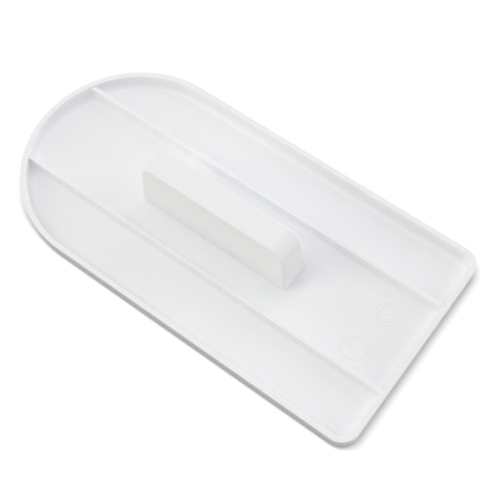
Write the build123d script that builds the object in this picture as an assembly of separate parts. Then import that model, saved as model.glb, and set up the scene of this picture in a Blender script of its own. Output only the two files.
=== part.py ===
from build123d import *
from math import atan, cos, degrees
import os

# Icing smoother: a shallow white plate with a raised rim and two long ribs, and a hollow
# handle that sits over pegs in its middle.
# All lengths are in millimetres. X runs along the plate, its square end at +X and its round
# end at -X. Y runs across it and Z points up, away from the smoothing face. The origin is the
# middle of the plate's box, on the smoothing face.

# Plate, measured at the top of its rim
plate_length = 155.0
plate_width = 78.0
plate_height = 7.0
floor_thickness = 2.0
square_corner_radius = 6.4

# Rim round the plate and the cove between it and the floor
rim_width = 1.9
rim_outer_lean = 0.35
rim_inner_lean = 0.5
rim_inner_edge_radius = 0.4
cove_radius = 2.6
sole_edge_radius = 1.0

# Ribs that stiffen the plate, centre to centre and in section
rib_spacing = 34.8
rib_top_width = 1.6
rib_foot_width = 2.2
rib_drop_below_rim = 0.7
rib_edge_radius = 0.25
rib_root_radius = 0.5

# Handle, measured up from the plate's floor, to where its faces would meet in sharp edges
handle_length = 60.4
handle_width = 12.3
handle_height = 21.7
handle_lean = 1.3
handle_wall = 2.0
handle_end_radius = 6.0
handle_end_trim = 0.02
handle_corner_radius = 1.2
handle_edge_radius = 0.5
handle_foot_radius = 0.3
cavity_corner_radius = 0.6
handle_from_middle = 0.4

# Tongue on the plate, inside the handle's foot
tongue_height = 3.0
tongue_thickness = 1.2
tongue_clearance = 0.15

# Pegs on the plate, inside the handle's sockets
peg_diameter = 4.0
peg_spacing = 34.0
peg_tip_below_roof = 6.7
peg_tip_chamfer = 0.6
peg_clearance = 0.1
peg_tip_clearance = 1.0

# Sockets and middle web inside the handle
socket_wall = 1.4
socket_above_tongue = 0.5
web_thickness = 1.4

# A rounding takes up no more than this share of the room that its wall gives it
largest_rounding_share = 0.9

# Places that follow from the sizes above
recess_depth = plate_height - floor_thickness
rib_top_z = plate_height - rib_drop_below_rim
round_centre_x = (plate_width - plate_length) / 2
handle_slope = handle_lean / handle_height
handle_slope_angle = degrees(atan(handle_slope))
socket_foot_z = tongue_height + socket_above_tongue
peg_height = handle_height - handle_wall - peg_tip_below_roof

# Boxes and cylinders stand on the middle of their foot
STANDING = (Align.CENTER, Align.CENTER, Align.MIN)


def rounding(radius, room):
    """Radius of a rounding, held within the room that its wall gives it."""
    return min(radius, largest_rounding_share * room)


def plate_outline(inset):
    """Plan of the plate drawn in by inset: half a circle at -X, rounded corners at +X."""
    half_width = plate_width / 2 - inset
    straight_length = plate_length / 2 - inset - round_centre_x
    round_end = Pos(round_centre_x, 0) * Circle(half_width)
    straight = Pos(round_centre_x, 0) * Rectangle(
        straight_length, 2 * half_width, align=(Align.MIN, Align.CENTER)
    )
    plan = round_end + straight
    square_corners = plan.vertices().group_by(Axis.X)[-1]
    return fillet(square_corners, square_corner_radius - inset)


def drafted_down(inset, depth, lean):
    """Solid from the rim's top down by depth, whose sides lean in by lean on the way."""
    top_plan = Pos(0, 0, plate_height) * plate_outline(inset)
    return extrude(top_plan, amount=depth, dir=(0, 0, -1), taper=degrees(atan(lean / depth)))


def rib_bars():
    """Two bars with the ribs' section, longer than the recess and rooted in the floor."""
    half_top = rib_top_width / 2
    half_foot = rib_foot_width / 2
    root_depth = floor_thickness / 2
    slope = (half_foot - half_top) / (rib_top_z - floor_thickness)
    half_root = half_foot + slope * root_depth
    root_z = floor_thickness - root_depth
    section = make_face(
        Polyline(
            (-half_root, root_z),
            (-half_top, rib_top_z),
            (half_top, rib_top_z),
            (half_root, root_z),
            close=True,
        )
    )
    bar = extrude(Plane.YZ * section, amount=plate_length / 2, both=True)
    return [Pos(0, side * rib_spacing / 2, 0) * bar for side in (-1, 1)]


def rib_edges(plate, z):
    """The four long edges of the ribs that lie at height z."""
    window = rib_edge_radius / 2
    long_edges = plate.edges().filter_by(Axis.X).filter_by_position(Axis.Z, z - window, z + window)
    reach = (rib_spacing + rib_foot_width) / 2 + window
    return long_edges.filter_by_position(Axis.Y, -reach, reach)


def ribbed_tray():
    """Plate with its rim, the cove inside it, rounded sole edges and the two ribs.

    The rim's outer edge stays sharp, because the mould parts along it.
    """
    body = drafted_down(0, plate_height, rim_outer_lean)
    body = fillet(body.edges().group_by(Axis.Z)[0], rounding(sole_edge_radius, floor_thickness))
    recess = drafted_down(rim_width, recess_depth, rim_inner_lean)
    recess_corner_radius = square_corner_radius - rim_width - rim_inner_lean
    cove = rounding(cove_radius, min(recess_corner_radius, recess_depth - rim_inner_edge_radius))
    recess = fillet(recess.edges().group_by(Axis.Z)[0], cove)
    for bar in rib_bars():
        recess -= bar
    plate = body - recess
    rib_top_edges = rib_edges(plate, rib_top_z)
    plate = fillet(rib_top_edges, rounding(rib_edge_radius, rib_top_width / 2))
    rim = plate.faces().sort_by(Axis.Z)[-1]
    inner_edges = rim.inner_wires()[0].edges()
    plate = fillet(inner_edges, rounding(rim_inner_edge_radius, rim_width / 2))
    return fillet(rib_edges(plate, floor_thickness), rib_root_radius)


def handle_form(inset, corner_radius):
    """The handle's outer form drawn in by inset, standing on z = 0.

    Its side view takes a thin slice off both ends of a block whose upright edges are rounded.
    """
    side_inset = inset / cos(atan(handle_slope))
    length = handle_length - 2 * side_inset
    width = handle_width - 2 * side_inset
    height = handle_height - inset
    foot = Rectangle(length + 2 * handle_end_trim, width)
    block = extrude(foot, amount=height, taper=handle_slope_angle)
    levels = block.edges().group_by(Axis.Z)
    upright_edges = block.edges() - levels[0] - levels[-1]
    block = fillet(upright_edges, corner_radius)
    half_base = length / 2
    half_top = half_base - height * handle_slope
    side_view = make_face(
        Polyline(
            (-half_base, 0),
            (-half_top, height),
            (half_top, height),
            (half_base, 0),
            close=True,
        )
    )
    top_corners = side_view.vertices().group_by(Axis.Y)[-1]
    side_view = fillet(top_corners, handle_end_radius - inset)
    return block & extrude(Plane.XZ * side_view, amount=width, both=True)


def at_handle(shape):
    """Moves what was drawn about the handle's middle to its place on the plate's floor."""
    return Pos(handle_from_middle, 0, floor_thickness) * shape


def peg_places():
    """Middles of the two pegs along the handle."""
    return [Pos(side * peg_spacing / 2, 0) for side in (-1, 1)]


def tongue():
    """Low wall that stands just inside the handle's foot and keeps it from turning."""
    outer_inset = handle_wall + tongue_clearance
    slab = Box(handle_length, handle_width, tongue_height, align=STANDING)
    wall = handle_form(outer_inset, cavity_corner_radius) & slab
    return wall - handle_form(outer_inset + tongue_thickness, cavity_corner_radius)


def peg():
    """Round peg with a chamfered tip, which a socket in the handle is pushed over."""
    plain = Cylinder(peg_diameter / 2, peg_height, align=STANDING)
    return chamfer(plain.edges().group_by(Axis.Z)[-1], peg_tip_chamfer)


def base_plate():
    """The whole plate moulding: ribbed tray, tongue and pegs."""
    plate = ribbed_tray() + at_handle(tongue())
    for place in peg_places():
        plate += at_handle(place * peg())
    return plate


def across_cavity(thickness):
    """Wall across the handle's cavity, from above the tongue up into the roof."""
    height = handle_height - handle_wall / 2 - socket_foot_z
    return Pos(0, 0, socket_foot_z) * Box(thickness, handle_width, height, align=STANDING)


def handle_shell():
    """Hollow handle, open below, with a socket over each peg and a web across its middle."""
    outside = handle_form(0, handle_corner_radius)
    top_side_edges = outside.edges().filter_by(Axis.X).group_by(Axis.Z)[-1]
    outside = fillet(top_side_edges, handle_edge_radius)
    outside = fillet(outside.edges().group_by(Axis.Z)[0], handle_foot_radius)
    shell = outside - handle_form(handle_wall, cavity_corner_radius)

    within_walls = handle_form(handle_wall / 2, cavity_corner_radius)
    bore_diameter = peg_diameter + 2 * peg_clearance
    bore_depth = peg_height + peg_tip_clearance - socket_foot_z
    socket = across_cavity(bore_diameter + 2 * socket_wall)
    bore = Pos(0, 0, socket_foot_z) * Cylinder(bore_diameter / 2, bore_depth, align=STANDING)
    shell += across_cavity(web_thickness) & within_walls
    for place in peg_places():
        shell += (place * socket) & within_walls
        shell -= place * bore
    return at_handle(shell)


os.makedirs("parts", exist_ok=True)
pieces = {
    "base_plate": base_plate(),
    "handle_shell": handle_shell(),
}
for name, piece in pieces.items():
    export_step(piece, f"parts/{name}.step")
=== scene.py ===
"""Looks of the icing smoother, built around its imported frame.

The tool is two white plastic mouldings: a shallow tray with a raised rim and two long ribs, and a
hollow handle that stands in its middle. Sizes are in millimetres, apart from the lamps', and are
turned to metres where they are used. X runs along the plate with its square end at +X, Y runs
across it and Z points up. The origin is the middle of the plate's box, on the smoothing face.
"""

import logging
import math
from dataclasses import dataclass, field
from enum import Enum

import bmesh
import bpy
import numpy as np
from mathutils import Matrix, Vector

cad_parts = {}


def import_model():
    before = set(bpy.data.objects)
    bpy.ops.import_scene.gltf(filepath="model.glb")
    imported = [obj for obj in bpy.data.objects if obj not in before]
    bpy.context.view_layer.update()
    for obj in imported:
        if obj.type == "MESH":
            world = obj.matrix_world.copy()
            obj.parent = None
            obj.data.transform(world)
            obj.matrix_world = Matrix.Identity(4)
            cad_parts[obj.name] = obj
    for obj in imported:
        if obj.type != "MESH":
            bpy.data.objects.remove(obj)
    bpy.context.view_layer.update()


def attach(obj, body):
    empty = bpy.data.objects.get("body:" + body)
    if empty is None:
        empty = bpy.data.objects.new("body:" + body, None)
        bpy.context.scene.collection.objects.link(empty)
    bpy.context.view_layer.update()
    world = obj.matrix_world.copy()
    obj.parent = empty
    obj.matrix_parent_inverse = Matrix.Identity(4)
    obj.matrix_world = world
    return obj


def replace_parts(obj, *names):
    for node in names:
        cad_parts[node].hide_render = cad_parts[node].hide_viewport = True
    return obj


MM = 0.001
BODY = "root"
LOG = logging.getLogger("icing_smoother")

# A point, and one number for a whole grid or one for each of its rows
Place = tuple[float, float, float]
Rows = float | np.ndarray


class Slot(Enum):
    """Material slots of the record."""

    PLATE = "plate_plastic"
    HANDLE = "handle_plastic"


def linear_colour(hex_colour: str) -> tuple[float, float, float, float]:
    """Turns an sRGB hex colour into linear light, by the usual curve with its straight foot.

    Args:
        hex_colour: Colour such as "#EDEEEF".

    Returns:
        Red, green, blue and an alpha of 1, in linear light.
    """
    codes = np.array([int(hex_colour[i : i + 2], 16) for i in (1, 3, 5)]) / 255.0
    linear = np.where(codes <= 0.04045, codes / 12.92, ((codes + 0.055) / 1.055) ** 2.4)
    return (*linear.tolist(), 1.0)


def add_node(
    tree: bpy.types.NodeTree,
    kind: str,
    settings: dict[str, object] | None = None,
    values: dict[str | int, object] | None = None,
    links: dict[str | int, bpy.types.NodeSocket] | None = None,
) -> bpy.types.Node:
    """Adds a node with its settings, the values of its open sockets and its incoming links.

    Args:
        tree: Node tree that gets the node.
        kind: Name of the node type, without the "ShaderNode" that it starts with.
        settings: Attributes of the node itself.
        values: Default values by input socket name or place.
        links: Output sockets to link from, by input socket name or place.

    Returns:
        The new node.
    """
    node = tree.nodes.new("ShaderNode" + kind)
    for name, value in (settings or {}).items():
        setattr(node, name, value)
    for key, value in (values or {}).items():
        node.inputs[key].default_value = value
    for key, socket in (links or {}).items():
        tree.links.new(socket, node.inputs[key])
    return node


def corner_profile(corners: list[tuple[float, float, float]], steps: int) -> np.ndarray:
    """Rounds the corners of an open outline with tangent arcs.

    At each corner the arc's centre lies on the bisector, at radius / sin(half the corner angle),
    and the arc starts radius / tan(half the corner angle) before the corner. Its points are the
    spherical blend of the two radius vectors, sin((1-s)w) u0 + sin(sw) u1 over sin(w).

    Args:
        corners: Points as (first axis, second axis, radius), where a radius of 0 keeps the corner.
        steps: Segments in each arc.

    Returns:
        Points of the rounded outline, one row each.
    """
    points = np.array([corner[:2] for corner in corners])
    share = np.linspace(0.0, 1.0, steps + 1)[:, None]
    pieces = [points[:1]]
    for before, here, after, (_, _, radius) in zip(points, points[1:], points[2:], corners[1:]):
        back = (before - here) / np.linalg.norm(before - here)
        ahead = (after - here) / np.linalg.norm(after - here)
        half = math.acos(float(np.clip(back @ ahead, -1.0, 1.0))) / 2
        bisector = (back + ahead) / np.linalg.norm(back + ahead)
        centre = here + bisector * radius / math.sin(half)
        start = (here + back * radius / math.tan(half) - centre) / radius
        end = (here + ahead * radius / math.tan(half) - centre) / radius
        turn = math.pi - 2 * half
        blend = np.sin((1 - share) * turn) * start + np.sin(share * turn) * end
        pieces.append(centre + radius * blend / math.sin(turn))
    pieces.append(points[-1:])
    return np.concatenate(pieces)


def coons(bottom: np.ndarray, top: np.ndarray, left: np.ndarray, right: np.ndarray) -> np.ndarray:
    """Fills four joined edges with a bilinearly blended patch.

    The point at (u, v) is the blend of bottom and top by v, plus the blend of left and right by u,
    less the bilinear blend of the four corners.

    Args:
        bottom: Edge at v = 0, from u = 0 to 1.
        top: Edge at v = 1, from u = 0 to 1.
        left: Edge at u = 0, from v = 0 to 1.
        right: Edge at u = 1, from v = 0 to 1.

    Returns:
        Grid of points with a row for each v and a column for each u.
    """
    u = np.linspace(0.0, 1.0, len(bottom))[None, :, None]
    v = np.linspace(0.0, 1.0, len(left))[:, None, None]
    across = (1 - v) * bottom[None] + v * top[None]
    along = (1 - u) * left[:, None] + u * right[:, None]
    low = (1 - u) * bottom[0] + u * bottom[-1]
    high = (1 - u) * top[0] + u * top[-1]
    return across + along - ((1 - v) * low + v * high)


def points_of(x: Rows, y: Rows, z: Rows) -> np.ndarray:
    """Grid of points from numbers and arrays that broadcast to one shape."""
    return np.stack(np.broadcast_arrays(x, y, z), axis=-1).astype(float)


def columns(*values: Rows) -> list[np.ndarray]:
    """Columns of one length, with an entry for each row of a grid."""
    return [np.atleast_1d(value)[:, None].astype(float) for value in np.broadcast_arrays(*values)]


def to_front(patch: np.ndarray) -> np.ndarray:
    """Mirror image of a patch, across the plane of X and Z that halves the object."""
    return patch * np.array([1.0, -1.0, 1.0])


@dataclass
class Surface:
    """Closed surface of one piece, gathered from grid patches that meet at their edges.

    Attributes:
        weld: Distance in millimetres under which two points become one.
        sharp_degrees: Edges that turn more than this are shaded as sharp.
        patches: Grids of points in millimetres.
    """

    weld: float = 0.002
    sharp_degrees: float = 35.0
    patches: list[np.ndarray] = field(default_factory=list)

    def add(self, *patches: np.ndarray) -> None:
        """Adds grids of points in millimetres, each (rows, columns, 3)."""
        self.patches.extend(patches)

    def build(self, name: str, place: Place = (0.0, 0.0, 0.0)) -> bpy.types.Object:
        """Makes the mesh: one quad per grid cell, welded, with its faces turned outwards.

        Args:
            name: Name of the piece.
            place: Where the patches' origin goes, in millimetres.

        Returns:
            The new object, at the origin, with its place in its mesh.
        """
        faces, start = [], 0
        for patch in self.patches:
            index = start + np.arange(patch.shape[0] * patch.shape[1]).reshape(patch.shape[:2])
            corners = (index[:-1, :-1], index[:-1, 1:], index[1:, 1:], index[1:, :-1])
            faces.append(np.stack(corners, axis=-1).reshape(-1, 4))
            start += index.size
        points = np.concatenate([patch.reshape(-1, 3) + place for patch in self.patches]) * MM
        mesh = bpy.data.meshes.new(name)
        mesh.from_pydata(points.tolist(), [], np.concatenate(faces).tolist())
        solid = bmesh.new()
        solid.from_mesh(mesh)
        bmesh.ops.remove_doubles(solid, verts=solid.verts, dist=self.weld * MM)
        bmesh.ops.dissolve_degenerate(solid, edges=solid.edges, dist=self.weld * MM / 2)
        bmesh.ops.recalc_face_normals(solid, faces=solid.faces)
        solid.to_mesh(mesh)
        solid.free()
        mesh.shade_smooth()
        mesh.set_sharp_from_angle(angle=math.radians(self.sharp_degrees))
        piece = bpy.data.objects.new(name, mesh)
        bpy.context.scene.collection.objects.link(piece)
        return piece


def dress(piece: bpy.types.Object, material: bpy.types.Material) -> bpy.types.Object:
    """Gives a piece its material, even shading and its body.

    Args:
        piece: Finished mesh object.
        material: Finish of the whole piece.

    Returns:
        The same piece.
    """
    piece.data.materials.append(material)
    shading = piece.modifiers.new("even_shading", "WEIGHTED_NORMAL")
    shading.keep_sharp = True
    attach(piece, BODY)
    LOG.info("%s: %d faces", piece.name, len(piece.data.polygons))
    return piece


@dataclass(frozen=True)
class MouldedPlastic:
    """White polystyrene from a polished mould: satin, smooth, with a very fine even grain.

    Attributes:
        name: Name of the material.
        body: Colour of the plastic.
        cloud: Slightly different colour of the flow clouds in it.
        cloud_size: Size of those clouds in millimetres.
        cloud_detail: Octaves of finer clouds in them.
        roughness: Middle roughness of the surface.
        roughness_spread: How far the roughness wanders either way.
        grain_size: Size of the grain in millimetres, coarser than the real one so that it shows.
        grain_depth: Depth of the grain in millimetres.
        refraction: Index of refraction of the plastic.
    """

    name: str
    body: str
    cloud: str
    cloud_size: float = 22.0
    cloud_detail: float = 3.0
    roughness: float = 0.42
    roughness_spread: float = 0.05
    grain_size: float = 0.5
    grain_depth: float = 0.002
    refraction: float = 1.53

    def material(self) -> bpy.types.Material:
        """Builds the node material on object coordinates.

        Returns:
            The new material.
        """
        material = bpy.data.materials.new(self.name)
        material.use_nodes = True
        tree = material.node_tree
        tree.nodes.clear()
        place = add_node(tree, "TexCoord").outputs["Object"]
        clouds = add_node(
            tree,
            "TexNoise",
            values={"Scale": 1 / (self.cloud_size * MM), "Detail": self.cloud_detail},
            links={"Vector": place},
        ).outputs["Fac"]
        colour = add_node(
            tree,
            "Mix",
            {"data_type": "RGBA"},
            values={"A": linear_colour(self.body), "B": linear_colour(self.cloud)},
            links={"Factor": clouds},
        )
        low = self.roughness - self.roughness_spread
        high = self.roughness + self.roughness_spread
        roughness = add_node(
            tree, "MapRange", values={"To Min": low, "To Max": high}, links={"Value": clouds}
        )
        scale = 1 / (self.grain_size * MM)
        grain = add_node(tree, "TexNoise", values={"Scale": scale}, links={"Vector": place})
        bump = add_node(
            tree,
            "Bump",
            values={"Distance": self.grain_depth * MM},
            links={"Height": grain.outputs["Fac"]},
        )
        plastic = add_node(
            tree,
            "BsdfPrincipled",
            values={"IOR": self.refraction},
            links={
                "Base Color": colour.outputs["Result"],
                "Roughness": roughness.outputs["Result"],
                "Normal": bump.outputs["Normal"],
            },
        )
        add_node(tree, "OutputMaterial", links={"Surface": plastic.outputs["BSDF"]})
        return material


@dataclass
class PlateTray:
    """The plate moulding: flat sole, floor, raised rim with a cove inside it, and two long ribs."""

    # Outline at the rim's top, and heights over the sole
    length: float = 155.0
    width: float = 78.0
    height: float = 7.0
    floor: float = 2.0
    corner_radius: float = 6.4

    # Rim, cove and sole edge
    rim_width: float = 1.9
    outer_lean: float = 0.35
    inner_lean: float = 0.5
    rim_inner_edge: float = 0.4
    rim_parting_edge: float = 0.15
    cove: float = 2.6
    sole_edge: float = 1.0
    sole_margin: float = 1.5

    # Ribs
    rib_spacing: float = 34.8
    rib_top: float = 1.6
    rib_foot: float = 2.2
    rib_drop: float = 0.7
    rib_edge: float = 0.25
    rib_root: float = 0.5

    # Steps of the grids, and digits that levels are rounded to
    arc_steps: int = 8
    cove_steps: int = 16
    end_steps: int = 4
    corner_steps: int = 12
    side_steps: int = 28
    round_steps: int = 32
    middle_steps: int = 26
    rib_steps: int = 2
    floor_steps: int = 6
    level_digits: int = 2

    @property
    def round_centre(self) -> float:
        """X of the middle of the round end."""
        return (self.width - self.length) / 2

    @property
    def rib_height(self) -> float:
        """Height of the ribs' tops over the sole."""
        return self.height - self.rib_drop

    @property
    def sole_inset(self) -> float:
        """Inset of the sole's one flat patch, a margin inside its rounded edge."""
        return self.outer_lean + self.sole_edge + self.sole_margin

    def rib_section(self) -> tuple[np.ndarray, np.ndarray]:
        """Half a rib's section from its flat top down to the floor.

        Returns:
            Heights that fall from the top to the floor, and the half width at each.
        """
        outline = corner_profile(
            [
                (0.0, self.rib_height, 0.0),
                (self.rib_top / 2, self.rib_height, self.rib_edge),
                (self.rib_foot / 2, self.floor, self.rib_root),
                (self.rib_spacing / 2, self.floor, 0.0),
            ],
            self.arc_steps,
        )[1:-1]
        return outline[:, 1], outline[:, 0]

    def wall_section(self) -> tuple[np.ndarray, np.ndarray]:
        """Section of the rim's inner wall and the cove, from the rim's top to the floor.

        Returns:
            Heights that fall from the rim's top to the floor, and the inset at each.
        """
        outline = corner_profile(
            [
                (self.rim_width, self.height, 0.0),
                (self.rim_width + self.inner_lean, self.floor, self.cove),
                (self.width / 2, self.floor, 0.0),
            ],
            self.cove_steps,
        )[:-1]
        return outline[:, 1], outline[:, 0]

    def levels(self) -> np.ndarray:
        """Heights from the ribs' tops down to the floor that suit the ribs and the cove alike.

        Returns:
            Falling heights, without those that round to the same value.
        """
        rib_z, _ = self.rib_section()
        wall_z, _ = self.wall_section()
        both = np.concatenate([rib_z, wall_z[wall_z < self.rib_height]])
        apart = np.unique(np.round(both, self.level_digits))[::-1]
        return np.clip(apart, self.floor, self.rib_height)

    def inset_at(self, z: Rows) -> Rows:
        """Inset of the inner wall and cove at a height."""
        wall_z, inset = self.wall_section()
        return np.interp(z, wall_z[::-1], inset[::-1])

    def rib_half_width_at(self, z: Rows) -> Rows:
        """Half width of a rib, its rounded top edges and roots included, at a height."""
        rib_z, half = self.rib_section()
        return np.interp(z, rib_z[::-1], half[::-1])

    def lane_edges(self, z: Rows) -> tuple[Rows, Rows, Rows]:
        """Where the walls and the rear rib's two faces stand at a height.

        Args:
            z: Heights from the ribs' tops down to the floor.

        Returns:
            Inset of the walls, Y of the face to the middle lane and Y of the one to the rear lane.
        """
        half = self.rib_half_width_at(z)
        middle = self.rib_spacing / 2
        return self.inset_at(z), middle - half, middle + half

    def round_angle(self, inset: Rows, y: Rows) -> Rows:
        """Angle on the round end, from +X, at which the outline drawn in by inset is at y."""
        return math.pi - np.arcsin(y / (self.width / 2 - inset))

    def side_edge(self, inset: Rows, y: Rows, z: Rows) -> np.ndarray:
        """Outline of the rear lane: from y on the square end round to y on the round end.

        A straight stretch at the square end, a quarter circle, the long side and an arc of the
        round end, each on its own even steps.

        Args:
            inset: How far the outline is drawn in.
            y: Where it starts and ends.
            z: Its height.

        Returns:
            Grid with a row for each inset.
        """
        inset, y, z = columns(inset, y, z)
        corner_x = self.length / 2 - self.corner_radius
        corner_y = self.width / 2 - self.corner_radius
        half = self.width / 2 - inset
        radius = self.corner_radius - inset
        at_end = np.linspace(0.0, 1.0, self.end_steps, endpoint=False)
        at_corner = np.linspace(0.0, math.pi / 2, self.corner_steps, endpoint=False)
        at_side = np.linspace(0.0, 1.0, self.side_steps, endpoint=False)
        at_round = np.linspace(0.0, 1.0, self.round_steps + 1)
        turn = math.pi / 2 + at_round * (self.round_angle(inset, y) - math.pi / 2)
        stretches = (
            (self.length / 2 - inset + 0 * at_end, y + at_end * (corner_y - y)),
            (corner_x + radius * np.cos(at_corner), corner_y + radius * np.sin(at_corner)),
            (corner_x + at_side * (self.round_centre - corner_x) + 0 * inset, half + 0 * at_side),
            (self.round_centre + half * np.cos(turn), half * np.sin(turn)),
        )
        x, y = (np.concatenate(parts, axis=1) for parts in zip(*stretches))
        return points_of(x, y, z)

    def ends(self, inset: Rows, low: Rows, high: Rows, z: Rows, steps: int) -> list[np.ndarray]:
        """Stretches of both ends between two Y places.

        The square end's is a line with even steps, and the round end's an arc with even angles.

        Args:
            inset: How far the outline is drawn in.
            low: Y where they start.
            high: Y where they end.
            z: Their height.
            steps: Steps between the two.

        Returns:
            Grid of the square end and grid of the round end.
        """
        inset, low, high, z = columns(inset, low, high, z)
        share = np.linspace(0.0, 1.0, steps + 1)
        square = points_of(self.length / 2 - inset, low + share * (high - low), z)
        start, end = self.round_angle(inset, low), self.round_angle(inset, high)
        turn = start + share * (end - start)
        half = self.width / 2 - inset
        return [square, points_of(self.round_centre + half * np.cos(turn), half * np.sin(turn), z)]

    def outer_bands(self) -> list[np.ndarray]:
        """Everything from the sole's margin round the outer wall and rim to the ribs' top level.

        One section is carried round the outline, in stretches that end where the ribs do.

        Returns:
            Patches that close the band all the way round.
        """
        inner_inset, near, far = self.lane_edges(self.rib_height)
        section = corner_profile(
            [
                (self.sole_inset, 0.0, 0.0),
                (self.outer_lean, 0.0, self.sole_edge),
                (0.0, self.height, self.rim_parting_edge),
                (self.rim_width, self.height, self.rim_inner_edge),
                (inner_inset, self.rib_height, 0.0),
            ],
            self.arc_steps,
        )
        inset, z = section.T
        rear = [self.side_edge(inset, far, z), *self.ends(inset, near, far, z, self.rib_steps)]
        middle = self.ends(inset, -near, near, z, self.middle_steps)
        return rear + [to_front(patch) for patch in rear] + middle

    def sole(self) -> np.ndarray:
        """The flat smoothing face inside the margin of its rounded edge.

        Returns:
            One patch, blended between the four edges that the outer bands leave open.
        """
        _, near, far = self.lane_edges(self.rib_height)
        outer = self.ends(self.sole_inset, near, far, 0.0, self.rib_steps)
        middle = self.ends(self.sole_inset, -near, near, 0.0, self.middle_steps)
        ends = [
            np.concatenate([to_front(rib[0])[::-1], between[0, 1:-1], rib[0]])
            for rib, between in zip(outer, middle)
        ]
        rear = self.side_edge(self.sole_inset, far, 0.0)[0]
        return coons(to_front(rear), rear, *ends)

    def along(self) -> np.ndarray:
        """Shares along a rib, from the square end, that follow the rear lane's outline.

        Returns:
            The outline's arc length at each of its points, as a share of the whole.
        """
        inset, _, far = self.lane_edges(self.floor)
        edge = self.side_edge(inset, far, self.floor)[0]
        run = np.concatenate([[0.0], np.cumsum(np.linalg.norm(np.diff(edge, axis=0), axis=1))])
        return run / run[-1]

    def rib_row(self, inset: Rows, y: Rows, z: Rows) -> np.ndarray:
        """Lines along a rib, from the square end's wall to the round end's wall.

        Args:
            inset: Inset of both walls.
            y: Place across the plate.
            z: Height.

        Returns:
            Grid with a row for each line.
        """
        inset, y, z = columns(inset, y, z)
        start = self.length / 2 - inset
        half = self.width / 2 - inset
        end = self.round_centre - np.sqrt(half**2 - y**2)
        return points_of(start + self.along() * (end - start), y, z)

    def ribs(self) -> list[np.ndarray]:
        """Both faces and the flat top of each rib.

        Returns:
            Three patches for the rear rib and three for the front one.
        """
        z = self.levels()
        inset, near, far = self.lane_edges(z)
        across = np.linspace(near[0], far[0], self.rib_steps + 1)
        rear = [
            self.rib_row(inset, near, z),
            self.rib_row(inset, far, z),
            self.rib_row(inset[0], across, self.rib_height),
        ]
        return rear + [to_front(patch) for patch in rear]

    def inner_walls(self) -> list[np.ndarray]:
        """Wall and cove below the ribs' top level.

        Returns:
            Patches for the two side lanes and for both ends of the middle lane.
        """
        z = self.levels()
        inset, near, far = self.lane_edges(z)
        side = self.side_edge(inset, far, z)
        return [side, to_front(side), *self.ends(inset, -near, near, z, self.middle_steps)]

    def floors(self) -> list[np.ndarray]:
        """Flat floors of the lanes.

        A side lane's floor is the blend of the rib's line and the wall's outline, share by share.

        Returns:
            Patches for the two side lanes and the middle lane.
        """
        z = self.floor
        inset, near, far = self.lane_edges(z)
        share = np.linspace(0.0, 1.0, self.floor_steps + 1)[:, None, None]
        side = self.rib_row(inset, far, z) * (1 - share) + self.side_edge(inset, far, z) * share
        inner = self.rib_row(inset, near, z)[0]
        ends = self.ends(inset, -near, near, z, self.middle_steps)
        middle = coons(to_front(inner), inner, *(end[0] for end in ends))
        return [side, to_front(side), middle]

    def build(self, material: bpy.types.Material) -> bpy.types.Object:
        """Makes the whole tray as one closed piece that stands for the CAD plate.

        Args:
            material: Finish of the plate.

        Returns:
            The tray.
        """
        surface = Surface()
        surface.add(*self.outer_bands(), self.sole(), *self.ribs())
        surface.add(*self.inner_walls(), *self.floors())
        piece = dress(surface.build("plate_tray"), material)
        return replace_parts(piece, "base_plate")


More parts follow.
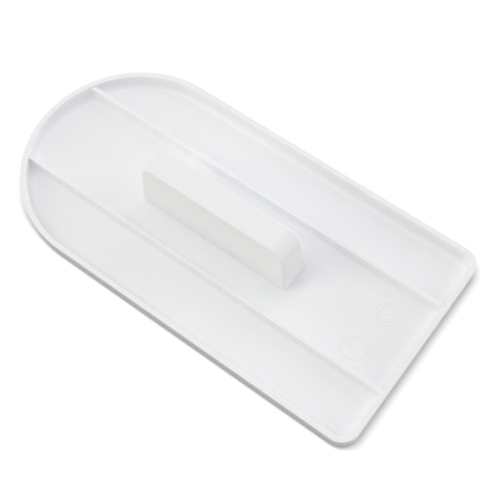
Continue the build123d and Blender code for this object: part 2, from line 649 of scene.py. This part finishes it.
@dataclass
class HandleGrip:
    """The hollow handle: drafted sides, ends rounded in side view, open below."""

    # Foot and height, to where the faces would meet in sharp edges
    length: float = 60.4
    width: float = 12.3
    height: float = 21.7
    lean: float = 1.3
    wall: float = 2.0
    end_radius: float = 6.0
    corner_radius: float = 1.2
    edge_radius: float = 0.5
    foot_radius: float = 0.3
    cavity_radius: float = 0.6
    from_middle: float = 0.4
    floor: float = PlateTray.floor

    # How soon the upright corners fade into the top's edges, and the grid's steps
    fade_degrees: float = 40.0
    arc_steps: int = 20
    round_steps: int = 6
    face_steps: int = 6
    side_steps: int = 24
    low_steps: int = 6
    foot_steps: int = 4

    @property
    def place(self) -> Place:
        """Middle of the handle's foot on the plate's floor."""
        return self.from_middle, 0.0, self.floor

    @property
    def slope(self) -> float:
        """Inward lean of the faces for each millimetre of height."""
        return self.lean / self.height

    def half_sizes(self, inset: Rows, z: Rows) -> tuple[Rows, Rows]:
        """Half length and half width of the drafted block drawn in by inset, at height z."""
        drawn_in = inset * math.hypot(1.0, self.slope) + self.slope * z
        return self.length / 2 - drawn_in, self.width / 2 - drawn_in

    def end_arc(self, inset: float) -> tuple[float, float, float, float]:
        """Arc that rounds an end in side view, tangent to the leaning end and to the top.

        Args:
            inset: How far the form is drawn in.

        Returns:
            X and Z of the centre, radius and first angle.
        """
        centre_z = self.height - self.end_radius
        reach = self.length / 2 - self.slope * centre_z
        centre_x = reach - self.end_radius * math.hypot(1.0, self.slope)
        return centre_x, centre_z, self.end_radius - inset, math.atan(self.slope)

    def loops(self, half_length: Rows, half_width: Rows, radius: Rows, z: Rows) -> np.ndarray:
        """Rounded rectangles, one for each row, that start at the front of the +X end.

        Each is a quarter circle, the end, a quarter circle and the rear side, then the same
        turned by half a turn.

        Args:
            half_length: Half the length.
            half_width: Half the width.
            radius: Corner radius.
            z: Height.

        Returns:
            Closed grid, whose last column repeats its first.
        """
        half_length, half_width, radius, z = columns(half_length, half_width, radius, z)
        front = np.linspace(-math.pi / 2, 0.0, self.round_steps + 1)
        rear = -front[::-1]
        face = np.linspace(-1.0, 1.0, self.face_steps + 1)[1:-1]
        side = np.linspace(1.0, -1.0, self.side_steps + 1)[1:-1]
        corner_x, corner_y = half_length - radius, half_width - radius
        stretches = (
            (corner_x + radius * np.cos(front), -corner_y + radius * np.sin(front)),
            (half_length + 0 * face, corner_y * face),
            (corner_x + radius * np.cos(rear), corner_y + radius * np.sin(rear)),
            (corner_x * side, half_width + 0 * side),
        )
        x, y = (np.concatenate(parts, axis=1) for parts in zip(*stretches))
        half_turn = points_of(x, y, z)
        other = half_turn * np.array([-1.0, -1.0, 1.0])
        return np.concatenate([half_turn, other, half_turn[:, :1]], axis=1)

    def crown(self, inset: float, corner: float, edge: float) -> list[np.ndarray]:
        """Rounded ends, top and upper sides over the height where the end arcs start.

        A belt is carried over the side view's outline. Its section is flat, with a rounding at
        each side whose radius fades by a smooth step from corner to edge over the first part of
        the end arc. The side faces fill the outline inside those roundings with level rows.

        Args:
            inset: How far the form is drawn in.
            corner: Radius of the roundings where the end arc starts.
            edge: Radius of the roundings along the top.

        Returns:
            The belt and the two side faces.
        """
        centre_x, centre_z, reach, first = self.end_arc(inset)
        angle = np.linspace(first, math.pi / 2, self.arc_steps + 1)
        tilt = (angle - first) / (math.pi / 2 - first) * math.pi / 2
        fade = np.clip(tilt / math.radians(self.fade_degrees), 0.0, 1.0)
        radius = corner + (edge - corner) * fade**2 * (3 - 2 * fade)
        top_x = np.linspace(centre_x, -centre_x, self.side_steps + 1)[1:-1]
        level = np.ones_like(top_x)
        x = np.concatenate([centre_x + reach * np.cos(angle), top_x])
        z = np.concatenate([centre_z + reach * np.sin(angle), level * (centre_z + reach)])
        tilt = np.concatenate([tilt, level * math.pi / 2])
        radius = np.concatenate([radius, level * edge])
        # The other end mirrors this one's outline and normals in X
        rows = np.stack([x, z, np.cos(tilt), np.sin(tilt), radius], axis=1)
        other_end = rows[self.arc_steps :: -1] * (-1, 1, -1, 1, 1)
        x, z, normal_x, normal_z, radius = columns(*np.concatenate([rows, other_end]).T)

        turn = np.linspace(math.pi / 2, 0.0, self.round_steps + 1)
        face = np.linspace(-1.0, 1.0, self.face_steps + 1)[1:-1]
        sign = np.concatenate([-np.ones_like(turn), face, np.ones_like(turn)])
        turn = np.concatenate([turn, 0 * face, turn[::-1]])
        depth = radius * (1 - np.cos(turn))
        height = z - depth * normal_z
        _, half_width = self.half_sizes(inset, height)
        y = sign * (half_width - radius * (1 - np.sin(turn)))
        belt = points_of(x - depth * normal_x, y, height)
        rim = belt[: self.arc_steps + 1, -1]
        across = np.linspace(1.0, -1.0, self.side_steps + 1)
        rear = points_of(rim[:, :1] * across, rim[:, 1:2], rim[:, 2:])
        return [belt, rear, to_front(rear)]

    def shell(self, inset: float, corner: float, edge: float, foot: float) -> list[np.ndarray]:
        """One side of the wall, from its foot up, drawn in by inset.

        Args:
            inset: How far the form is drawn in.
            corner: Radius of the upright corners.
            edge: Radius along the top.
            foot: Height at which the plain wall starts.

        Returns:
            Patches of the wall and the crown.
        """
        _, centre_z, reach, first = self.end_arc(inset)
        z = np.linspace(foot, centre_z + reach * math.sin(first), self.low_steps + 1)
        walls = self.loops(*self.half_sizes(inset, z), corner, z)
        return [walls, *self.crown(inset, corner, edge)]

    def foot(self) -> list[np.ndarray]:
        """Rounded foot edge and the flat underside of the wall.

        Returns:
            The two patches.
        """
        turn = np.linspace(0.0, math.pi / 2, self.foot_steps + 1)
        z = self.foot_radius * (1 - np.sin(turn))
        drawn_in = self.foot_radius * (1 - np.cos(turn))
        half_length, half_width = (half - drawn_in for half in self.half_sizes(0.0, z))
        rounding = self.loops(half_length, half_width, self.corner_radius - drawn_in, z)
        cavity = self.loops(*self.half_sizes(self.wall, 0.0), self.cavity_radius, 0.0)
        return [rounding, np.concatenate([rounding[-1:], cavity])]

    def build(self, material: bpy.types.Material) -> bpy.types.Object:
        """Makes the hollow handle as one closed piece that stands for the CAD handle.

        Args:
            material: Finish of the handle.

        Returns:
            The handle.
        """
        surface = Surface()
        surface.add(*self.shell(0.0, self.corner_radius, self.edge_radius, self.foot_radius))
        surface.add(*self.foot())
        surface.add(*self.shell(self.wall, self.cavity_radius, self.cavity_radius, 0.0))
        piece = dress(surface.build("handle_grip", self.place), material)
        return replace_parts(piece, "handle_shell")


@dataclass
class SeatFittings:
    """The low tongue and the two pegs on the plate's floor that locate the handle."""

    grip: HandleGrip
    tongue_height: float = 3.0
    tongue_thickness: float = 1.2
    tongue_clearance: float = 0.15
    peg_diameter: float = 4.0
    peg_spacing: float = 34.0
    peg_tip_below_roof: float = 6.7
    peg_chamfer: float = 0.6
    peg_steps: int = 32

    @property
    def peg_height(self) -> float:
        """Height of the pegs over the plate's floor."""
        return self.grip.height - self.grip.wall - self.peg_tip_below_roof

    def tongue(self, material: bpy.types.Material) -> bpy.types.Object:
        """Low wall that follows the handle's cavity: loops at its four corners, joined in a ring.

        Args:
            material: Finish of the plate.

        Returns:
            The tongue.
        """
        outer = self.grip.wall + self.tongue_clearance
        inset = outer + self.tongue_thickness * np.array([0.0, 0.0, 1.0, 1.0, 0.0])
        z = self.tongue_height * np.array([0.0, 1.0, 1.0, 0.0, 0.0])
        rows = self.grip.loops(*self.grip.half_sizes(inset, z), self.grip.cavity_radius, z)
        ring = Surface(patches=[rows])
        return dress(ring.build("locating_tongue", self.grip.place), material)

    def peg(self, side: float, name: str, material: bpy.types.Material) -> bpy.types.Object:
        """Round peg with a chamfered tip: its section turned about an upright axis.

        Args:
            side: -1 for the peg towards the round end, 1 for the other.
            name: Name of the piece.
            material: Finish of the plate.

        Returns:
            The peg.
        """
        radius = self.peg_diameter / 2
        section = np.array(
            [
                (0.0, 0.0),
                (radius, 0.0),
                (radius, self.peg_height - self.peg_chamfer),
                (radius - self.peg_chamfer, self.peg_height),
                (0.0, self.peg_height),
            ]
        )
        turn = np.linspace(0.0, 2 * math.pi, self.peg_steps + 1)
        reach, height = section[:, :1], section[:, 1:]
        pin = Surface(patches=[points_of(reach * np.cos(turn), reach * np.sin(turn), height)])
        x, y, z = self.grip.place
        place = (x + side * self.peg_spacing / 2, y, z)
        return dress(pin.build(name, place), material)

    def build(self, material: bpy.types.Material) -> None:
        """Makes the tongue and both pegs.

        Args:
            material: Finish of the plate.
        """
        self.tongue(material)
        self.peg(-1.0, "locating_peg_round_end", material)
        self.peg(1.0, "locating_peg_square_end", material)


@dataclass
class MouldMarks:
    """Two plain marks raised on the floor near the square end, as mould inserts leave them.

    One is a ring with a dial of short ticks round a pointer, the other a ring with three dots.
    Neither carries letters or numbers.
    """

    dial_place: tuple[float, float] = (61.6, 6.4)
    dots_place: tuple[float, float] = (60.0, -9.2)
    plate_floor: float = PlateTray.floor
    ring_radius: float = 3.9
    relief: float = 0.2
    sunk: float = 0.1
    stroke: float = 0.3
    flare: float = 0.12
    ticks: int = 12
    tick_radius: float = 2.8
    tick_length: float = 0.8
    pointer_length: float = 2.0
    pointer_turn_degrees: float = 25.0
    dot_radius: float = 0.45
    dot_spacing: float = 1.7
    round_steps: int = 48
    dot_steps: int = 16
    sharp_degrees: float = 60.0

    def ring(self) -> np.ndarray:
        """Round bead whose section is a trapezoid, turned about the mark's middle.

        Returns:
            Grid with a row for each corner of the section.
        """
        half = self.stroke / 2
        foot = half + self.flare
        reach, height = columns(
            self.ring_radius + np.array([-foot, -half, half, foot, -foot]),
            np.array([-self.sunk, self.relief, self.relief, -self.sunk, -self.sunk]),
        )
        turn = np.linspace(0.0, 2 * math.pi, self.round_steps + 1)
        return points_of(reach * np.cos(turn), reach * np.sin(turn), height)

    def pad(self, foot: np.ndarray, top: np.ndarray) -> np.ndarray:
        """Raised pad: its foot and top outlines with the middle of each, stacked as rows.

        Args:
            foot: Closed outline (x, y) at the foot, whose last point repeats its first.
            top: Outline of as many points at the top.

        Returns:
            Grid of four rows.
        """
        rows = (foot * 0 + foot[:-1].mean(axis=0), foot, top, top * 0 + top[:-1].mean(axis=0))
        heights = (-self.sunk, -self.sunk, self.relief, self.relief)
        return np.stack([points_of(*row.T, height) for row, height in zip(rows, heights)])

    def bar(self, length: float, reach: float, turn: float) -> np.ndarray:
        """Straight bar that points away from the mark's middle.

        Args:
            length: Length of its top.
            reach: Distance of its middle from the mark's middle.
            turn: Angle of its direction from +X in radians.

        Returns:
            Grid of four rows.
        """
        corners = np.array([(-1.0, -1.0), (1.0, -1.0), (1.0, 1.0), (-1.0, 1.0), (-1.0, -1.0)])
        half = np.array([length, self.stroke]) / 2
        along = np.array([math.cos(turn), math.sin(turn)])
        axes = np.array([along, (-along[1], along[0])])
        foot = corners * (half + self.flare) @ axes + reach * along
        return self.pad(foot, corners * half @ axes + reach * along)

    def dot(self, x: float) -> np.ndarray:
        """Low round dot on the mark's X axis.

        Args:
            x: Place of its middle.

        Returns:
            Grid of four rows.
        """
        turn = np.linspace(0.0, 2 * math.pi, self.dot_steps + 1)
        circle = np.stack([np.cos(turn), np.sin(turn)], axis=1)
        foot = circle * (self.dot_radius + self.flare) + (x, 0.0)
        return self.pad(foot, circle * self.dot_radius + (x, 0.0))

    def build(self, material: bpy.types.Material) -> None:
        """Makes both marks, sunk a little into the floor so that no gap shows under them.

        Args:
            material: Finish of the plate.
        """
        pointer = math.radians(self.pointer_turn_degrees)
        turns = np.arange(self.ticks) * 2 * math.pi / self.ticks
        dial = Surface(sharp_degrees=self.sharp_degrees)
        dial.add(self.ring(), self.bar(self.pointer_length, 0.0, pointer))
        dial.add(*(self.bar(self.tick_length, self.tick_radius, turn) for turn in turns))
        dots = Surface(sharp_degrees=self.sharp_degrees)
        dots.add(self.ring())
        dots.add(*(self.dot(step * self.dot_spacing) for step in (-1.0, 0.0, 1.0)))
        for surface, name, place in (
            (dial, "mould_mark_dial", self.dial_place),
            (dots, "mould_mark_dots", self.dots_place),
        ):
            dress(surface.build(name, (*place, self.plate_floor)), material)


@dataclass(frozen=True)
class Softbox:
    """Square soft lamp that points at the middle of the object.

    Attributes:
        name: Name of the lamp.
        azimuth: Its direction from +X towards +Y, in degrees.
        elevation: Its height over the floor, in degrees.
        level: Light that it throws on a surface that faces it, where 1 shows a colour as it is.
        size: Side of the square in metres.
        colour: Colour of its light.
        distance: Distance from the object in metres.
    """

    name: str
    azimuth: float
    elevation: float
    level: float
    size: float = 0.4
    colour: str = "#FFFFFF"
    distance: float = 1.0

    def build(self) -> bpy.types.Object:
        """Makes the lamp, with the power that gives its level at the object.

        Returns:
            The lamp.
        """
        data = bpy.data.lights.new(self.name, "AREA")
        data.size = self.size
        data.color = linear_colour(self.colour)[:3]
        data.energy = (math.pi * self.distance) ** 2 * self.level
        lamp = bpy.data.objects.new(self.name, data)
        turn, rise = math.radians(self.azimuth), math.radians(self.elevation)
        flat = math.cos(rise)
        direction = Vector((flat * math.cos(turn), flat * math.sin(turn), math.sin(rise)))
        lamp.location = direction * self.distance
        lamp.rotation_mode = "QUATERNION"
        lamp.rotation_quaternion = direction.to_track_quat("Z", "Y")
        bpy.context.scene.collection.objects.link(lamp)
        return lamp


def seen_share(tree: bpy.types.NodeTree) -> bpy.types.NodeSocket:
    """1 for what the camera sees, directly, mirrored or through something clear, otherwise 0.

    Args:
        tree: Node tree of a floor or world.

    Returns:
        Value socket.
    """
    path = add_node(tree, "LightPath").outputs
    seen = path["Is Camera Ray"]
    for kind in ("Is Glossy Ray", "Is Transmission Ray"):
        either = add_node(tree, "Math", {"operation": "MAXIMUM"}, links={0: seen, 1: path[kind]})
        seen = either.outputs[0]
    return seen


@dataclass
class Studio:
    """White floor with painted shadow and shade, soft lamps, even surroundings and the camera."""

    # Camera
    camera_place: Place = (114.4, -111.9, 311.2)
    camera_aim: Place = (11.556, 0.162, 0.0)
    camera_roll_degrees: float = -6.442
    lens: float = 74.22
    sensor: float = 36.0
    clip_range: tuple[float, float] = (10.0, 20000.0)

    # Paper floor, and the painted shade round the plate and the paper that its bounced light meets
    floor_size: float = 4000.0
    floor_seam_distance: float = 500.0
    floor_colour: str = "#FFFFFF"
    # Black painted shade round the plate, which only bounced light meets
    painted_shade_colour: str = "#000000"
    paper_bounce: str = "#F8F6F0"
    painted_shade_centre_x: float = -34.0
    painted_shade_margin: float = 40.0
    painted_shade_softness: float = 12.0

    # Painted shadow on the paper, as it is seen and as the plastic mirrors it, and the margins
    # round the plate's front edge between which it changes from the front's to the sides'
    front_shadow_reach: float = 0.5
    side_shadow_reach: float = 3.0
    mirrored_front_reach: float = 10.0
    mirrored_side_reach: float = 2.5
    mirrored_depth: float = 1.5
    shadow_fade: tuple[float, float] = (2.0, -6.0)
    shadow_samples: int = 16

    # Light from all round, and the lamps
    world_level: float = 0.424
    lamps: tuple[Softbox, ...] = (
        Softbox("soft_front_left", 225.0, 20.0, 0.116, colour="#FFFFEC"),
        Softbox("soft_front_left_high", 225.0, 45.0, 0.08, colour="#FFFFEC"),
        Softbox("soft_front_left_top", 225.0, 70.0, 0.105, size=0.3),
        Softbox("soft_front_right_top", 315.0, 70.0, 0.041, size=0.3),
        Softbox("soft_front_low", 270.0, 4.0, 0.069, size=0.12, colour="#FFFFF4"),
        Softbox("soft_left", 180.0, 20.0, 0.097),
        Softbox("soft_right", 0.0, 20.0, 0.054),
        Softbox("soft_rear_right", 45.0, 20.0, 0.152),
        Softbox("soft_rear_high", 90.0, 45.0, 0.085),
        Softbox("soft_rear_left_top", 135.0, 70.0, 0.064, size=0.3),
        Softbox("soft_rear_low", 90.0, 4.0, 0.2, size=0.12),
    )

    def camera(self) -> bpy.types.Object:
        """Camera at the photograph's place, angle and lens.

        Returns:
            The camera.
        """
        data = bpy.data.cameras.new("camera")
        data.lens, data.sensor_width = self.lens, self.sensor
        data.clip_start, data.clip_end = (distance * MM for distance in self.clip_range)
        camera = bpy.data.objects.new("camera", data)
        place = Vector(self.camera_place) * MM
        aim = Vector(self.camera_aim) * MM
        turn = (aim - place).to_track_quat("-Z", "Y").to_matrix().to_4x4()
        roll = Matrix.Rotation(math.radians(self.camera_roll_degrees), 4, "Z")
        camera.matrix_world = Matrix.Translation(place) @ turn @ roll
        bpy.context.scene.collection.objects.link(camera)
        bpy.context.scene.camera = camera
        return camera

    def outside_painted_shade_share(self, tree: bpy.types.NodeTree) -> bpy.types.NodeSocket:
        """Share that rises smoothly from 0 on the painted shade to 1 on the paper round it.

        The painted shade covers the plate's box grown by a margin and moved along X. The distance
        from the box is the larger of |x - centre| - half the length and |y| - half the width.

        Args:
            tree: Node tree of the floor.

        Returns:
            Value socket.
        """
        place = add_node(
            tree,
            "VectorMath",
            {"operation": "SUBTRACT"},
            values={1: (self.painted_shade_centre_x * MM, 0.0, 0.0)},
            links={0: add_node(tree, "TexCoord").outputs["Object"]},
        )
        axes = add_node(tree, "SeparateXYZ", links={"Vector": place.outputs["Vector"]}).outputs
        reach = []
        for axis, extent in (("X", PlateTray.length), ("Y", PlateTray.width)):
            span = add_node(tree, "Math", {"operation": "ABSOLUTE"}, links={0: axes[axis]})
            outside = add_node(
                tree,
                "Math",
                {"operation": "SUBTRACT"},
                values={1: extent / 2 * MM},
                links={0: span.outputs[0]},
            )
            reach.append(outside.outputs[0])
        distance = add_node(
            tree, "Math", {"operation": "MAXIMUM"}, links={0: reach[0], 1: reach[1]}
        )
        near, far = (self.painted_shade_margin + side * self.painted_shade_softness / 2 for side in (-1, 1))
        share = add_node(
            tree,
            "MapRange",
            {"interpolation_type": "SMOOTHSTEP"},
            values={"From Min": near * MM, "From Max": far * MM},
            links={"Value": distance.outputs[0]},
        )
        return share.outputs["Result"]

    def bounce_colour(self, tree: bpy.types.NodeTree) -> bpy.types.NodeSocket:
        """Colour that bounced light meets: black painted shade round the plate, then paper.

        Args:
            tree: Node tree of the floor.

        Returns:
            Colour socket.
        """
        colour = add_node(
            tree,
            "Mix",
            {"data_type": "RGBA"},
            values={"A": linear_colour(self.painted_shade_colour), "B": linear_colour(self.paper_bounce)},
            links={"Factor": self.outside_painted_shade_share(tree)},
        )
        return colour.outputs["Result"]

    def paper_with_painted_shadow(
        self, tree: bpy.types.NodeTree, front: float, side: float, depth: float = 1.0
    ) -> bpy.types.NodeSocket:
        """White paper with a painted shadow where the object hides it from the room within a reach.

        The reach changes smoothly from front to side across the line of the plate's front edge.
        The paper's light is the open share of its sky to the power of the depth.

        Args:
            tree: Node tree of the floor.
            front: Width of the shadow in front of the plate in millimetres.
            side: Its width beside and behind the plate in millimetres.
            depth: How much deeper the shadow is than an even sky makes it.

        Returns:
            Colour socket.
        """
        place = add_node(tree, "TexCoord").outputs["Object"]
        axes = add_node(tree, "SeparateXYZ", links={"Vector": place}).outputs
        outside, inside = (-PlateTray.width / 2 - margin for margin in self.shadow_fade)
        reach = add_node(
            tree,
            "MapRange",
            {"interpolation_type": "SMOOTHSTEP"},
            values={
                "From Min": outside * MM,
                "From Max": inside * MM,
                "To Min": front * MM,
                "To Max": side * MM,
            },
            links={"Value": axes["Y"]},
        )
        # Painted shadow: the paper's white is darkened by the share of its sky that is open within
        # the reach
        openness = add_node(
            tree,
            "AmbientOcclusion",
            {"samples": self.shadow_samples},
            values={"Color": linear_colour(self.floor_colour)},
            links={"Distance": reach.outputs["Result"]},
        )
        light = add_node(
            tree, "Gamma", values={"Gamma": depth}, links={"Color": openness.outputs["Color"]}
        )
        return light.outputs["Color"]

    def floor_material(self) -> bpy.types.Material:
        """White where it is seen, with a soft painted shadow under the object's edge.

        What the camera sees is white paper with a painted shadow, darker where the object hides it
        from the room. Its reach is set thin in front of the plate and wider beside it. The plastic
        mirrors the same paper with a painted shadow that is wide and deep in front of the plate.
        The light that the paper throws back is held black by painted shade round the plate, which
        reaches less far on the right side, as the photograph's outer walls and handle show.

        Returns:
            The floor's material.
        """
        material = bpy.data.materials.new("studio_floor")
        material.use_nodes = True
        tree = material.node_tree
        tree.nodes.clear()
        seen_paper = self.paper_with_painted_shadow(tree, self.front_shadow_reach, self.side_shadow_reach)
        mirrored_paper = self.paper_with_painted_shadow(
            tree, self.mirrored_front_reach, self.mirrored_side_reach, self.mirrored_depth
        )
        colour = add_node(
            tree,
            "Mix",
            {"data_type": "RGBA"},
            links={
                "Factor": add_node(tree, "LightPath").outputs["Is Camera Ray"],
                "A": mirrored_paper,
                "B": seen_paper,
            },
        )
        paper = add_node(tree, "Emission", links={"Color": colour.outputs["Result"]})
        bounce = add_node(tree, "BsdfDiffuse", links={"Color": self.bounce_colour(tree)})
        mix = add_node(
            tree,
            "MixShader",
            links={0: seen_share(tree), 1: bounce.outputs["BSDF"], 2: paper.outputs["Emission"]},
        )
        add_node(tree, "OutputMaterial", links={"Surface": mix.outputs["Shader"]})
        return material

    def floor(self) -> bpy.types.Object:
        """Large flat floor at the height of the sole.

        Its four cells meet well off the middle, so that the diagonal which splits the cell under
        the object into triangles runs far from the object and leaves no line in its shadow.

        Returns:
            The floor.
        """
        half = self.floor_size / 2
        along = np.array((-half, -self.floor_seam_distance, half))
        across = -along[::-1]
        paper = Surface(patches=[points_of(along[None, :], across[:, None], 0.0)])
        floor = paper.build("studio_floor")
        floor.data.materials.append(self.floor_material())
        return floor

    def world(self) -> None:
        """Even surroundings at a plain level, which look white where they are seen."""
        world = bpy.data.worlds.new("studio")
        world.use_nodes = True
        tree = world.node_tree
        tree.nodes.clear()
        level = add_node(
            tree,
            "MapRange",
            values={"To Min": self.world_level, "To Max": 1.0},
            links={"Value": seen_share(tree)},
        )
        light = add_node(
            tree,
            "Background",
            values={"Color": (1.0, 1.0, 1.0, 1.0)},
            links={"Strength": level.outputs["Result"]},
        )
        add_node(tree, "OutputWorld", links={"Surface": light.outputs["Background"]})
        bpy.context.scene.world = world

    def build(self) -> None:
        """Sets up the whole studio."""
        self.camera()
        self.floor()
        self.world()
        for lamp in self.lamps:
            lamp.build()
        bpy.context.scene.view_settings.view_transform = "Standard"


def main() -> None:
    """Builds the object and the studio around the frame."""
    logging.basicConfig(level=logging.INFO, format="%(name)s: %(message)s")
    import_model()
    plate_finish = MouldedPlastic("plate_polystyrene", "#F7F7FA", "#F5F6F8").material()
    handle_finish = MouldedPlastic("handle_polystyrene", "#F6F7F8", "#F5F6F6").material()
    PlateTray().build(plate_finish)
    grip = HandleGrip()
    grip.build(handle_finish)
    SeatFittings(grip).build(plate_finish)
    MouldMarks().build(plate_finish)
    Studio().build()


if __name__ == "__main__":
    main()
